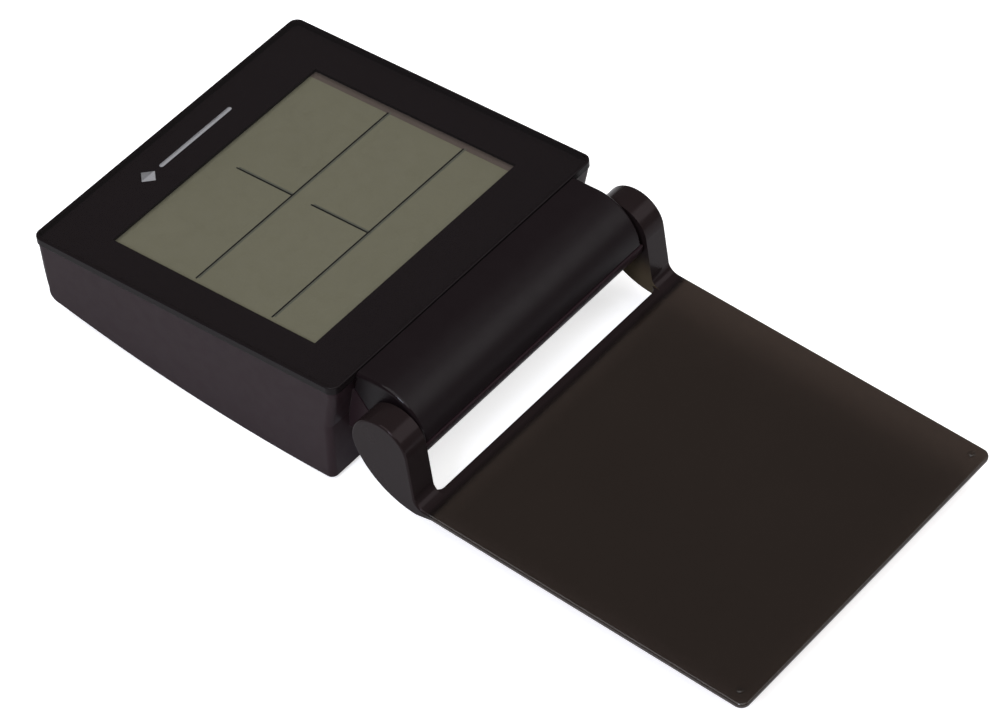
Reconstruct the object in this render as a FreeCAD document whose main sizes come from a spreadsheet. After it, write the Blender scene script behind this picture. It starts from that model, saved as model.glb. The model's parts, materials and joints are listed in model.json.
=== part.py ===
import FreeCAD, Part
import math
import os
from types import SimpleNamespace

import Sketcher

# Folding travel alarm clock: a wedge-shaped body with a square display, a barrel along one edge, and a
# smoked cover whose two arms turn on the barrel's ends.
#
# Two frames are used, both in millimetres.
# Clock frame: x across the panel, centred; y from the hinge-side edge of the panel towards its far edge;
# z out of the display, zero on the panel's face. The whole clock is then leaned on its convex back.
# Cover frame: x along the hinge axis, centred; y and z level and upright, zero on the hinge axis.

doc = FreeCAD.newDocument("TravelClock")
sheet = doc.addObject("Spreadsheet::Sheet", "Dims")


# ---------------------------------------------------------------- driving dimensions

DRIVING = [
    ("panel_width", 90.0, "front panel, along the hinge"),
    ("panel_depth", 86.6, "front panel, across the hinge"),
    ("panel_corner", 2.3, "corner radius of the panel"),
    ("lip_height", 1.9, "visible height of the front frame"),
    ("frame_floor", 2.8, "depth of the frame's floor under the face"),
    ("frame_skirt", 4.6, "depth of the skirt inside the housing"),
    ("lens_rim", 0.7, "frame left round the lens"),
    ("lens_thickness", 1.5, "clear front lens"),
    ("print_thickness", 0.1, "black print behind the lens"),
    ("window_width", 69.3, "clear window"),
    ("window_depth", 58.1, "clear window"),
    ("window_start", 13.9, "window edge from the hinge-side edge"),
    ("lean", 5.653, "angle by which the clock leans on its convex back"),
    ("housing_inset", 0.3, "rear housing inside the panel's outline"),
    ("housing_depth", 29.7, "deepest point of the back"),
    ("housing_draft", 1.8, "draft of the side walls"),
    ("housing_wall", 1.8, "wall of the rear housing"),
    ("cavity_half", 42.3, "half width of the housing's hollow"),
    ("back_radius", 316.0, "radius of the convex back"),
    ("part_line", 0.25, "groove between frame and housing"),
    ("hinge_reach", 11.5, "hinge axis in front of the panel's edge"),
    ("hinge_drop", 10.8, "hinge axis under the panel's face"),
    ("barrel_half", 37.8, "half length of the barrel"),
    ("barrel_radius", 7.1, "lower half of the barrel"),
    ("barrel_wall", 1.3, "wall of the barrel"),
    ("bar_radius", 11.6, "rounded top of the snooze bar"),
    ("bar_top", 0.3, "top of the snooze bar under the face"),
    ("bar_travel", 0.3, "travel of the snooze bar"),
    ("seam_gap", 0.5, "open seam under the snooze bar"),
    ("boss_radius", 7.65, "round end of a cover arm"),
    ("arm_width", 6.6, "width of a cover arm"),
    ("cover_reach", 96.5, "hinge axis to the cover's far edge"),
    ("slot_reach", 10.94, "hinge axis to the slot's far edge"),
    ("cover_drop", 11.57, "hinge axis to the cover's inner face"),
    ("cover_thickness", 1.36, "smoked cover plate"),
    ("cover_corner", 2.2, "far corners of the cover"),
    ("pin_radius", 2.0, "hinge pins"),
    ("running_fit", 0.05, "radial clearance of pin and bush"),
    ("bush_radius", 3.0, "outside of a hinge bush"),
    ("cell_radius", 5.2, "AAA cell"),
    ("cell_length", 43.6, "AAA cell without its nub"),
    ("cell_first", 12.4, "first cell's axis from the hinge-side edge"),
    ("cell_pitch", 10.9, "between the cells' axes"),
    ("cell_drop", 21.4, "cells' axes under the face"),
    ("board_drop", 9.4, "circuit board's front face under the panel's face"),
    ("board_thickness", 1.0, "circuit board"),
    ("button_line", 62.0, "row of rear buttons from the hinge-side edge"),
    ("button_pitch", 14.0, "between rear buttons"),
    ("button_radius", 2.8, "rear buttons"),
    ("button_travel", 0.3, "travel of a rear button"),
]


class Size:
    """A size that keeps its number together with its spreadsheet formula."""

    def __init__(self, number, formula):
        self.number = number
        self.formula = formula

    def __add__(self, other):
        other = as_size(other)
        return Size(self.number + other.number, "(%s + %s)" % (self.formula, other.formula))

    def __sub__(self, other):
        other = as_size(other)
        return Size(self.number - other.number, "(%s - %s)" % (self.formula, other.formula))

    def __mul__(self, other):
        other = as_size(other)
        return Size(self.number * other.number, "(%s * %s)" % (self.formula, other.formula))

    def __truediv__(self, other):
        other = as_size(other)
        return Size(self.number / other.number, "(%s / %s)" % (self.formula, other.formula))

    def __neg__(self):
        return Size(-self.number, "(0 - %s)" % self.formula)

    __radd__ = __add__
    __rmul__ = __mul__

    def __rsub__(self, other):
        return as_size(other) - self


def as_size(value):
    """Turns a plain number into a Size."""
    if isinstance(value, Size):
        return value
    return Size(float(value), "%.6f" % value if value >= 0 else "(0 - %.6f)" % -value)


def fill_sheet():
    """Writes the driving dimensions to the sheet and returns them as Sizes by name."""
    sizes = {}
    for row, (alias, value, note) in enumerate(DRIVING, start=1):
        sheet.set("A%d" % row, alias)
        sheet.set("B%d" % row, str(value))
        sheet.set("C%d" % row, note)
        sheet.setAlias("B%d" % row, alias)
        sizes[alias] = Size(value, "Dims." + alias)
    doc.recompute()
    return SimpleNamespace(**sizes)


d = fill_sheet()


def root(size):
    """Square root of a Size."""
    return Size(math.sqrt(size.number), "sqrt(%s)" % size.formula)


def bind(item, name, size):
    """Binds one property of an object to a size."""
    item.setExpression(name, as_size(size).formula)


# ---------------------------------------------------------------- sketch shapes


def pin_point(sketch, edge, end, x, y):
    """Fixes one point of a sketch at x, y."""
    for kind, size in (("DistanceX", as_size(x)), ("DistanceY", as_size(y))):
        index = sketch.addConstraint(Sketcher.Constraint(kind, -1, 1, edge, end, size.number))
        bind(sketch, "Constraints[%d]" % index, size)


def arc_through(start, finish, radius, turn):
    """An arc from start to finish; turn is 1 when it runs anticlockwise and -1 when clockwise."""
    chord = finish - start
    half = chord.Length / 2
    height = math.sqrt(max(radius * radius - half * half, 0.0))
    side = FreeCAD.Vector(-chord.y, chord.x, 0).normalize()
    centre = start + chord * 0.5 + side * (height * turn)
    circle = Part.Circle(centre, FreeCAD.Vector(0, 0, 1), radius)
    low, high = (start, finish) if turn > 0 else (finish, start)
    first = math.atan2(low.y - centre.y, low.x - centre.x)
    last = math.atan2(high.y - centre.y, high.x - centre.x)
    return Part.ArcOfCircle(circle, first, last)


def outline(points, arcs=None):
    """A closed outline. arcs maps the index of a side's first point to (radius, turn)."""
    arcs = arcs or {}

    def draw(sketch):
        places = [FreeCAD.Vector(as_size(x).number, as_size(y).number, 0) for x, y in points]
        edges = []
        for i, start in enumerate(places):
            finish = places[(i + 1) % len(places)]
            if i in arcs:
                radius, turn = arcs[i]
                edge = sketch.addGeometry(arc_through(start, finish, as_size(radius).number, turn))
                edges.append((edge, 1, 2) if turn > 0 else (edge, 2, 1))
            else:
                edge = sketch.addGeometry(Part.LineSegment(start, finish))
                edges.append((edge, 1, 2))
        for i, (edge, begin, end) in enumerate(edges):
            following = edges[(i + 1) % len(edges)]
            sketch.addConstraint(Sketcher.Constraint("Coincident", edge, end, following[0], following[1]))
            pin_point(sketch, edge, begin, *points[i])
            if i in arcs:
                radius = as_size(arcs[i][0])
                index = sketch.addConstraint(Sketcher.Constraint("Radius", edge, radius.number))
                bind(sketch, "Constraints[%d]" % index, radius)

    return draw


def rectangle(left, right, low, high, corner=None):
    """A rectangle, with round corners when a corner radius is given."""
    if corner is None:
        return outline([(left, low), (right, low), (right, high), (left, high)])
    points = [
        (left + corner, low), (right - corner, low), (right, low + corner), (right, high - corner),
        (right - corner, high), (left + corner, high), (left, high - corner), (left, low + corner),
    ]
    return outline(points, {1: (corner, 1), 3: (corner, 1), 5: (corner, 1), 7: (corner, 1)})


def disc(x, y, radius):
    """A circle."""

    def draw(sketch):
        centre = FreeCAD.Vector(as_size(x).number, as_size(y).number, 0)
        circle = Part.Circle(centre, FreeCAD.Vector(0, 0, 1), as_size(radius).number)
        edge = sketch.addGeometry(circle)
        pin_point(sketch, edge, 3, x, y)
        index = sketch.addConstraint(Sketcher.Constraint("Radius", edge, as_size(radius).number))
        bind(sketch, "Constraints[%d]" % index, radius)

    return draw


# ---------------------------------------------------------------- bodies and their features

PARTS = []


def tilt_placement():
    """The clock frame's place: leaned back, its convex back just on z = 0, the whole centred in y."""
    lean = math.radians(d.lean.number)
    contact_y = d.back_radius.number * math.sin(lean)
    contact_z = -d.housing_depth.number + d.back_radius.number * (1 - math.cos(lean))
    lowest = -contact_y * math.sin(lean) + contact_z * math.cos(lean)
    turn = FreeCAD.Rotation(FreeCAD.Vector(1, 0, 0), -d.lean.number)
    axis = turn.multVec(FreeCAD.Vector(0, -d.hinge_reach.number, -d.hinge_drop.number))
    far_corner = turn.multVec(FreeCAD.Vector(0, d.panel_depth.number, 0))
    middle = (axis.y - d.cover_reach.number + far_corner.y) / 2
    return FreeCAD.Placement(FreeCAD.Vector(0, -middle, -lowest), turn)


CLOCK = tilt_placement()
HINGE = CLOCK.multVec(FreeCAD.Vector(0, -d.hinge_reach.number, -d.hinge_drop.number))
COVER = FreeCAD.Placement(HINGE, FreeCAD.Rotation())


def new_body(label, place=CLOCK, group=False):
    """A PartDesign body that is one sub-part."""
    body = doc.addObject("PartDesign::Body", label)
    body.Label = label
    body.AllowCompound = group
    body.Placement = place
    PARTS.append(body)
    return body


def new_sketch(body, plane, height, shapes):
    """A sketch on one of the body's own planes, moved along the plane's normal."""
    sketch = body.newObject("Sketcher::SketchObject", body.Name + "_sketch")
    support = next(f for f in body.Origin.OriginFeatures if f.Role == plane + "_Plane")
    sketch.AttachmentSupport = (support, [""])
    sketch.MapMode = "FlatFace"
    bind(sketch, "AttachmentOffset.Base.z", height)
    for draw in shapes:
        draw(sketch)
    return sketch


def add(body, plane, low, high, *shapes, taper=None):
    """Adds material between two heights above a plane. A taper narrows it downwards."""
    start = low if taper is None else high
    sketch = new_sketch(body, plane, start, shapes)
    pad = body.newObject("PartDesign::Pad", body.Name + "_pad")
    pad.Profile = sketch
    bind(pad, "Length", as_size(high) - low)
    if taper is not None:
        pad.Reversed = True
        bind(pad, "TaperAngle", -taper)
    sketch.Visibility = False


def cut(body, plane, low, high, *shapes):
    """Removes material between two heights above a plane."""
    doc.recompute()
    before = body.Shape.Volume
    sketch = new_sketch(body, plane, high, shapes)
    pocket = body.newObject("PartDesign::Pocket", body.Name + "_pocket")
    pocket.Profile = sketch
    bind(pocket, "Length", as_size(high) - low)
    doc.recompute()
    if body.Shape.Volume >= before - 1e-6:
        raise RuntimeError("a pocket in %s cuts nothing" % body.Label)


def round_edges(body, radius, wanted):
    """Rounds the edges of a body's last feature that the test picks."""
    doc.recompute()
    base = body.Tip
    names = ["Edge%d" % (i + 1) for i, edge in enumerate(base.Shape.Edges) if wanted(edge)]
    if not names:
        raise RuntimeError("no edge to round in %s" % body.Label)
    feature = body.newObject("PartDesign::Fillet", body.Name + "_round")
    feature.Base = (base, names)
    bind(feature, "Radius", radius)
    doc.recompute()


def level(edge, z, tolerance=0.02):
    """True for an edge that lies wholly at one height."""
    box = edge.BoundBox
    return abs(box.ZMin - z) < tolerance and abs(box.ZMax - z) < tolerance


def both_sides(low, high):
    """The same stretch of x on both sides of the middle."""
    return [(low, high), (-as_size(high), -as_size(low))]


def back_z(y, inset=0):
    """Height of the convex back, or of a surface inside it, at a distance from the hinge-side edge."""
    radius = d.back_radius - inset
    return d.back_radius - d.housing_depth - root(radius * radius - as_size(y) * y)


# ---------------------------------------------------------------- front: frame, lens and print

half_width = d.panel_width / 2
window_half = d.window_width / 2
window_end = d.window_start + d.window_depth
recess_depth = d.lens_thickness + d.print_thickness
glue_film = 0.03
post_places = [(39.0, 7.6), (39.0, 79.6), (-39.0, 7.6), (-39.0, 79.6)]
post_foot = 12.8
post_radius = 2.7
pilot_radius = 1.05
pilot_top = 5.0
skirt_near = 3.0
skirt_far = 3.2
skirt_wall = 1.2


def make_front_frame():
    skirt_half = d.cavity_half - 0.15
    walls_half = skirt_half - skirt_wall
    margin = 0.4
    body = new_body("front_frame")
    add(body, "XY", -d.lip_height, 0,
        rectangle(-half_width, half_width, 0, d.panel_depth, d.panel_corner))
    add(body, "XY", -d.frame_skirt, -d.lip_height,
        rectangle(-skirt_half, skirt_half, skirt_near, d.panel_depth - skirt_far))
    cut(body, "XY", -recess_depth, 0,
        rectangle(-half_width + d.lens_rim, half_width - d.lens_rim, d.lens_rim,
                  d.panel_depth - d.lens_rim, d.panel_corner - d.lens_rim))
    cut(body, "XY", -d.frame_skirt, -recess_depth,
        rectangle(-window_half - margin, window_half + margin, d.window_start - margin, window_end + margin))
    cut(body, "XY", -d.frame_skirt, -d.frame_floor,
        rectangle(-walls_half, walls_half, skirt_near + skirt_wall, d.panel_depth - skirt_far - skirt_wall))
    for x, y in post_places:
        add(body, "XY", -post_foot, -d.frame_floor, disc(x, y, post_radius))
    for x, y in post_places:
        cut(body, "XY", -post_foot, -pilot_top, disc(x, y, pilot_radius))
    # The lip's upper outer edge is softly rounded.
    round_edges(body, 0.3, lambda e: level(e, 0) and outer_edge(e))


def outer_edge(edge):
    """True for an edge on the panel's outline."""
    box = edge.BoundBox
    inside = half_width.number - d.lens_rim.number - 0.01
    wide = max(abs(box.XMin), abs(box.XMax)) > inside + 0.3
    deep = box.YMin < d.lens_rim.number / 2 or box.YMax > d.panel_depth.number - d.lens_rim.number / 2
    return wide or deep


def make_lens():
    gap = 0.05
    sunk = 0.02
    side = half_width - d.lens_rim - gap
    near = d.lens_rim + gap
    far = d.panel_depth - d.lens_rim - gap
    corner = d.panel_corner - d.lens_rim
    lens = new_body("front_lens")
    add(lens, "XY", -d.lens_thickness, -sunk, rectangle(-side, side, near, far, corner))
    mask = new_body("lens_print")
    add(mask, "XY", -recess_depth, -d.lens_thickness - glue_film, rectangle(-side, side, near, far, corner),
        rectangle(-window_half, window_half, d.window_start, window_end))


# ---------------------------------------------------------------- display stack

lcd_half = 37.4
lcd_near = 10.4
lcd_far = 75.4
lcd_front = 3.1
glass = 1.0
film = 0.2
ledge = 3.0
film_margin = 1.2
guide_top = 5.4
guide_depth = 2.2
tray_top = 2.85
tray_floor = 5.4
tray_bottom = 9.3
board_screw_places = [(-39.4, 30.0), (-39.4, 56.0), (39.4, 30.0), (39.4, 56.0)]


def slab(label, half, near, far, top, bottom, corner=None):
    """A flat plate, centred in x, between two depths under the panel's face."""
    body = new_body(label)
    add(body, "XY", -as_size(bottom), -as_size(top), rectangle(-half, half, near, far, corner))
    return body


def make_display():
    rear = lcd_front + glass
    back = rear + glass
    inner_half = lcd_half - film_margin
    slab("lcd_front_polariser", inner_half, lcd_near + 1.0, lcd_far - 1.0, lcd_front - film,
         lcd_front - glue_film)
    slab("lcd_front_glass", lcd_half, lcd_near, lcd_far, lcd_front, rear - glue_film)
    slab("lcd_rear_glass", lcd_half, lcd_near + ledge, lcd_far - ledge, rear, back - glue_film)
    slab("lcd_rear_polariser", inner_half, lcd_near + ledge, lcd_far - ledge, back, back + film)
    slab("light_guide", 35.6, 14.0, 71.8, guide_top, guide_top + guide_depth, 0.8)
    make_lamps()
    make_tray()
    make_strips()


def make_lamps():
    """The two lamps at the light guide's far edge."""
    lamps = new_body("backlight_lamps", group=True)
    half = 1.6
    for x in (-12.0, 12.0):
        add(lamps, "XY", -7.4, -5.6, rectangle(x - half, x + half, 72.0, 72.9))


def make_tray():
    """The tray that holds the glass over the light guide, with an ear for each board screw."""
    tray = new_body("lcd_tray")
    add(tray, "XY", -tray_bottom, -tray_top, rectangle(-38.6, 38.6, 9.0, 76.8, 1.0))
    ear_half = 2.4
    for low, high in both_sides(38.0, 40.8):
        ears = [rectangle(low, high, y - ear_half, y + ear_half) for x, y in board_screw_places if x > 0]
        add(tray, "XY", -tray_bottom, -tray_top, *ears)
    seat = 0.2
    cut(tray, "XY", -tray_floor, -tray_top,
        rectangle(-lcd_half - seat, lcd_half + seat, lcd_near - seat, lcd_far + seat))
    cut(tray, "XY", -tray_bottom, -tray_floor, rectangle(-35.8, 35.8, 13.4, 73.0))
    strip_half = 31.2
    for near, far in ((10.4, 12.6), (73.4, 75.4)):
        cut(tray, "XY", -tray_bottom, -tray_floor, rectangle(-strip_half, strip_half, near, far))
    pilot = 0.75
    for x, y in board_screw_places:
        cut(tray, "XY", -tray_bottom, -4.4, disc(x, y, pilot))
    clearance = post_radius + 0.3
    cut(tray, "XY", -tray_bottom, -tray_top, *[disc(x, y, clearance) for x, y in post_places if y < lcd_far])


def make_strips():
    """The rubber strips that join the glass's ledges to the circuit board."""
    strips = new_body("zebra_strips", group=True)
    half = 31.0
    for near, far in ((10.6, 12.4), (73.6, 75.2)):
        add(strips, "XY", -d.board_drop, -lcd_front - glass, rectangle(-half, half, near, far))


# ---------------------------------------------------------------- circuit board and what it carries

board_back = d.board_drop + d.board_thickness
switch_height = 4.3


def button_places():
    """x of each rear button."""
    return [d.button_pitch * (i - 1.5) for i in range(4)]


def make_board():
    board = new_body("main_board")
    add(board, "XY", -board_back, -d.board_drop, rectangle(-40.9, 40.9, 26.0, 60.0))
    add(board, "XY", -board_back, -d.board_drop, rectangle(-36.0, 36.0, 9.6, 76.6, 1.0))
    hole = 1.1
    for x, y in board_screw_places:
        cut(board, "XY", -board_back, -d.board_drop, disc(x, y, hole))
    make_board_screws()
    make_board_parts()
    make_board_switches()


def make_board_screws():
    screws = new_body("board_screws", group=True)
    head = 1.2
    slot_depth = 0.5
    slot_half = (0.8, 0.15)
    for x, y in board_screw_places:
        add(screws, "XY", -board_back - head, -board_back, disc(x, y, 1.4))
        add(screws, "XY", -board_back, -5.4, disc(x, y, 0.7))
    for x, y in board_screw_places:
        cut(screws, "XY", -board_back - head, -board_back - head + slot_depth,
            rectangle(x - slot_half[0], x + slot_half[0], y - slot_half[1], y + slot_half[1]))


def make_board_parts():
    """The clock chip under its resin, the quartz crystal and the temperature sensor."""
    chip_height = 1.4
    chip = new_body("clock_chip")
    add(chip, "XY", -board_back - chip_height, -board_back, disc(8.0, 40.0, 6.0))
    round_edges(chip, 1.2, lambda e: level(e, -(board_back.number + chip_height)))

    can_radius = 1.05
    crystal = new_body("quartz_crystal")
    add(crystal, "YZ", -10.0, -2.0, disc(38.0, -board_back - can_radius - 0.05, can_radius))
    round_edges(crystal, 0.3, lambda e: e.BoundBox.XLength < 0.01)

    bead_height = 2.2
    sensor = new_body("temperature_sensor")
    add(sensor, "XY", -board_back - bead_height, -board_back, disc(-31.0, 44.0, 1.1))
    round_edges(sensor, 0.8, lambda e: level(e, -(board_back.number + bead_height)))


def make_board_switches():
    """The tact switches under the rear buttons and the slide switch's case."""
    half = 3.0
    can = 3.5
    stem_radius = 1.7
    switches = new_body("button_switches", group=True)
    for x in button_places():
        add(switches, "XY", -board_back - can, -board_back,
            rectangle(x - half, x + half, d.button_line - half, d.button_line + half, 0.4))
        add(switches, "XY", -board_back - switch_height, -board_back - can,
            disc(x, d.button_line, stem_radius))

    case = 4.0
    slider = new_body("alarm_switch_case")
    add(slider, "XY", -board_back - case, -board_back, rectangle(-4.5, 4.5, 46.2, 50.2, 0.3))
    cut(slider, "XY", -board_back - case, -board_back - 1.0, rectangle(-3.2, 3.2, 47.3, 49.1))


# ---------------------------------------------------------------- rear housing

shell_half = half_width - d.housing_inset
top_y = d.housing_inset
end_mid = (3.06, -13.5)
end_low = 4.3
far_wall = (84.6, -15.4)
below = -36
bay_half = 28.2
bay_near = 6.6
bay_far = 29.2
screw_floor = 13.1
screw_seat = 14.6
guide_floor = 20.4
guide_shoulder = 21.9
sounder = (24.0, 45.0)
sounder_seat = 21.9
knob_floor = 22.4
knob_seat = 23.4


def outer_profile():
    """Side view of the clock's outside: end face, convex back and far wall."""
    far_foot = d.panel_depth - 2.6
    far_corner = 1.8
    end_z = back_z(end_low)
    return (
        [
            (top_y, 1.0), (top_y, -d.lip_height), end_mid, (end_low, end_z),
            (far_foot - far_corner, back_z(far_foot - far_corner)),
            far_wall, (d.panel_depth - d.housing_inset, -d.lip_height),
            (d.panel_depth - d.housing_inset, 1.0),
        ],
        {3: (d.back_radius, 1), 4: (2.6, 1)},
    )


def inner_profile():
    """Side view of the housing's hollow."""
    wall = d.housing_wall
    near = as_size(end_low) + wall
    far = as_size(far_wall[0]) - wall - 0.8
    return (
        [
            (top_y + wall, 1.0), (top_y + wall, -d.lip_height), (as_size(end_mid[0]) + wall, end_mid[1]),
            (near, back_z(near, wall)), (far, back_z(far, wall)),
            (d.panel_depth - d.housing_inset - wall, -d.lip_height),
            (d.panel_depth - d.housing_inset - wall, 1.0),
        ],
        {3: (d.back_radius - wall, 1)},
    )


def barrel_profile(radius, top, seam):
    """Lower half of the barrel, joined to the clock's end face."""
    axis_y = -d.hinge_reach
    axis_z = -d.hinge_drop
    rise = axis_z - top
    reach = root(as_size(radius) * radius - rise * rise)
    return (
        [(axis_y - reach, top), (axis_y, axis_z - radius), *seam],
        {0: (radius, 1)},
    )


def make_rear_housing():
    body = new_body("rear_housing")
    top = -d.lip_height - d.part_line
    add(body, "XY", -33, top,
        rectangle(-shell_half, shell_half, top_y, d.panel_depth - d.housing_inset, 2.0),
        taper=d.housing_draft)
    cut(body, "YZ", -d.cavity_half, d.cavity_half, outline(*inner_profile()))
    add_inner_walls(body)

    # Everything below the convex back and outside the end faces is cut away.
    points, arcs = outer_profile()
    cut(body, "YZ", -half_width - 1, half_width + 1, rectangle(-8, 96, -40, 4), outline(points, arcs))

    cut_battery_bay(body)
    cut_back_holes(body)
    add_lower_barrel(body)
    round_edges(body, 1.6, end_corner)


def add_inner_walls(body):
    """Battery bay, screw towers, button guides and the sounder's ring, down to the floor."""
    bay_wall = 1.2
    low = -33
    add(body, "XY", low, -14.5,
        rectangle(-bay_half - bay_wall, bay_half + bay_wall, bay_near - bay_wall, bay_far + bay_wall))
    for x, y in post_places:
        add(body, "XY", low, -screw_floor, disc(x, y, 3.3))
    for x in button_places():
        add(body, "XY", low, -guide_floor, disc(x, d.button_line, 4.9))
    add(body, "XY", low, -21.2, disc(*sounder, 11.2))
    add(body, "XY", low, -knob_floor, rectangle(-6.2, 6.2, 45.0, 51.4))


def cut_battery_bay(body):
    """The bay's hollow, its opening for the door, the grooves for the door's tabs and the leads' gap."""
    wall = d.housing_wall
    roof = -15.7
    cut(body, "YZ", -bay_half, bay_half,
        outline([(bay_near, roof), (bay_near, back_z(bay_near, wall)), (bay_far, back_z(bay_far, wall)),
                 (bay_far, roof)], {1: (d.back_radius - wall, 1)}))
    cut(body, "YZ", -26.0, 26.0, rectangle(-2, 27.0, below, -26.6))
    cut(body, "XY", -20.5, -17.0, rectangle(-3.0, 3.0, 28.0, 31.0))


def cut_back_holes(body):
    """Screw recesses, button guides with their shoulders, the slide's slot and the sounder's holes."""
    for x, y in post_places:
        cut(body, "XY", -screw_seat, -screw_floor, disc(x, y, 1.45))
        cut(body, "XY", below, -screw_seat, disc(x, y, 2.4))

    clearance = 0.15
    for x in button_places():
        cut(body, "XY", -guide_shoulder, -guide_floor, disc(x, d.button_line, 4.1))
        cut(body, "XY", below, -guide_shoulder, disc(x, d.button_line, d.button_radius + clearance))
    cut(body, "XY", -knob_seat, -knob_floor, rectangle(-5.4, 5.4, 45.9, 50.5))
    cut(body, "XY", below, -knob_seat, rectangle(-3.6, 3.6, 46.9, 49.5, 1.2))

    chamber_floor = -23.6
    hole = 0.6
    ring = 3.2
    cut(body, "XY", -sounder_seat, -21.2, disc(*sounder, 10.2))
    cut(body, "XY", chamber_floor, -sounder_seat, disc(*sounder, 8.8))
    holes = [disc(*sounder, hole)]
    for i in range(6):
        angle = math.radians(60 * i)
        holes.append(disc(sounder[0] + ring * math.cos(angle), sounder[1] + ring * math.sin(angle), hole))
    cut(body, "XY", below, chamber_floor, *holes)


def add_lower_barrel(body):
    """Lower half of the barrel: end plates, thin shell, bearing blocks and ribs for the snooze board."""
    axis = (-d.hinge_reach, -d.hinge_drop)
    end_plate = 1.4
    bush_fit = 0.02
    block_top = -17.0
    seam_z = -d.hinge_drop - d.seam_gap
    bottom_z = -d.hinge_drop - d.barrel_radius
    seam = [(5.0, bottom_z), (2.4, -5.6), (0.8, -5.6), (-2.9, -10.6), (-4.0, seam_z)]
    points, arcs = barrel_profile(d.barrel_radius, seam_z, seam)
    add(body, "YZ", -d.barrel_half, d.barrel_half, outline(points, arcs))
    hollow_radius = d.barrel_radius - d.barrel_wall
    hollow_z = -d.hinge_drop - hollow_radius
    hollow = [(2.6, hollow_z), (0.2, -5.0), (-4.0, -9.6), (-12.0, -9.6)]
    points, arcs = barrel_profile(hollow_radius, seam_z, hollow)
    hollow_half = d.barrel_half - end_plate
    cut(body, "YZ", -hollow_half, hollow_half, outline(points, arcs))
    for low, high in both_sides(31.0, 35.8):
        add(body, "YZ", low, high, rectangle(-15.4, -7.6, block_top, -d.hinge_drop))
        add(body, "YZ", low, high, disc(*axis, 4.4))
    for low, high in both_sides(24.0, 26.0):
        add(body, "YZ", low, high, rectangle(-14.6, -7.4, block_top, -12.1))
    cut(body, "YZ", -d.barrel_half, d.barrel_half, disc(*axis, d.bush_radius + bush_fit))
    # The leads of the snooze board pass into the clock here.
    cut(body, "YZ", -6.0, 6.0, rectangle(-2.0, 6.4, -14.2, -9.8))


def end_corner(edge):
    """True for the upright edges where the side walls meet the end face."""
    box = edge.BoundBox
    at_end = box.YMax < 6 and box.YLength < 5
    return at_end and box.ZLength > 7 and min(abs(box.XMin), abs(box.XMax)) > 42.5


def make_housing_fittings():
    head_low = -15.9
    slot_depth = 0.8
    slot_half = (1.3, 0.25)
    screws = new_body("housing_screws", group=True)
    for x, y in post_places:
        add(screws, "XY", head_low, -screw_seat, disc(x, y, 2.2))
        add(screws, "XY", -screw_seat, -6.0, disc(x, y, 1.0))
    for x, y in post_places:
        cut(screws, "XY", head_low, head_low + slot_depth,
            rectangle(x - slot_half[0], x + slot_half[0], y - slot_half[1], y + slot_half[1]))

    plate = 0.3
    ceramic = 0.2
    piezo = new_body("piezo_sounder")
    add(piezo, "XY", -sounder_seat, -sounder_seat + plate, disc(*sounder, 10.0))
    add(piezo, "XY", -sounder_seat + plate, -sounder_seat + plate + ceramic, disc(*sounder, 7.0))


# ---------------------------------------------------------------- batteries, contacts and door


def cell_lines():
    """y of each cell's axis."""
    return [d.cell_first, d.cell_first + d.cell_pitch]


def make_batteries():
    half_cell = d.cell_length / 2
    nub = 0.9
    for index, (y, sign) in enumerate(zip(cell_lines(), (1, -1)), start=1):
        cell = new_body("battery_cell_%d" % index)
        add(cell, "YZ", -half_cell, half_cell, disc(y, -d.cell_drop, d.cell_radius))
        low, high = (half_cell, half_cell + nub) if sign > 0 else (-half_cell - nub, -half_cell)
        add(cell, "YZ", low, high, disc(y, -d.cell_drop, 1.9))
        round_edges(cell, 0.5, lambda e: e.BoundBox.XLength < 0.01 and e.BoundBox.YLength > 9)
    make_contacts(half_cell)


def make_contacts(half_cell):
    """A plate at both ends of each cell, and a tapered spring, shown as three wire rings, at its flat end."""
    plate = 0.3
    wall = bay_half - plate
    plate_half = 4.4
    wire = 0.5
    ring_pitch = 1.6
    plates = new_body("battery_plates", group=True)
    springs = new_body("battery_springs", group=True)
    for y, sign in zip(cell_lines(), (1, -1)):
        for low, high in both_sides(wall - plate, wall):
            add(plates, "YZ", low, high, rectangle(y - plate_half, y + plate_half, -25.3, -17.3, 0.6))
        for turn, radius in enumerate((3.4, 2.9, 2.4)):
            near = half_cell + plate + ring_pitch * turn
            low, high = (-near - wire, -near) if sign > 0 else (near, near + wire)
            add(springs, "YZ", low, high, disc(y, -d.cell_drop, radius),
                disc(y, -d.cell_drop, radius - wire))


def make_battery_door():
    """The door: an arched plate with a down-turned end, two tabs a side and five grip grooves."""
    door = new_body("battery_door")
    inset = d.housing_wall
    half = 25.8
    far = 26.8
    lip = -26.9
    points = [
        (end_low, back_z(end_low)), (far, back_z(far)), (far, back_z(far, inset)),
        (7.2, back_z(7.2, inset)), (6.2, lip), (4.25, lip),
    ]
    add(door, "YZ", -half, half, outline(points, {0: (d.back_radius, 1), 2: (d.back_radius - inset, -1)}))
    tab_near, tab_far = 20.4, 25.4
    for low, high in both_sides(half - 1.0, half):
        add(door, "YZ", low, high, rectangle(tab_near, tab_far, -27.6, -25.6))
    for low, high in both_sides(half, 27.5):
        add(door, "YZ", low, high, rectangle(tab_near, tab_far, -26.4, -25.6))
    groove = 0.6
    groove_depth = 0.4
    under = -30.4
    for i in range(5):
        y = 9.6 + 1.5 * i
        reach = 7.0 - 0.9 * i
        cut(door, "YZ", -reach, reach,
            outline([(y, under), (y + groove, under), (y + groove, back_z(y, groove_depth)),
                     (y, back_z(y, groove_depth))]))


# ---------------------------------------------------------------- buttons on the back


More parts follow.
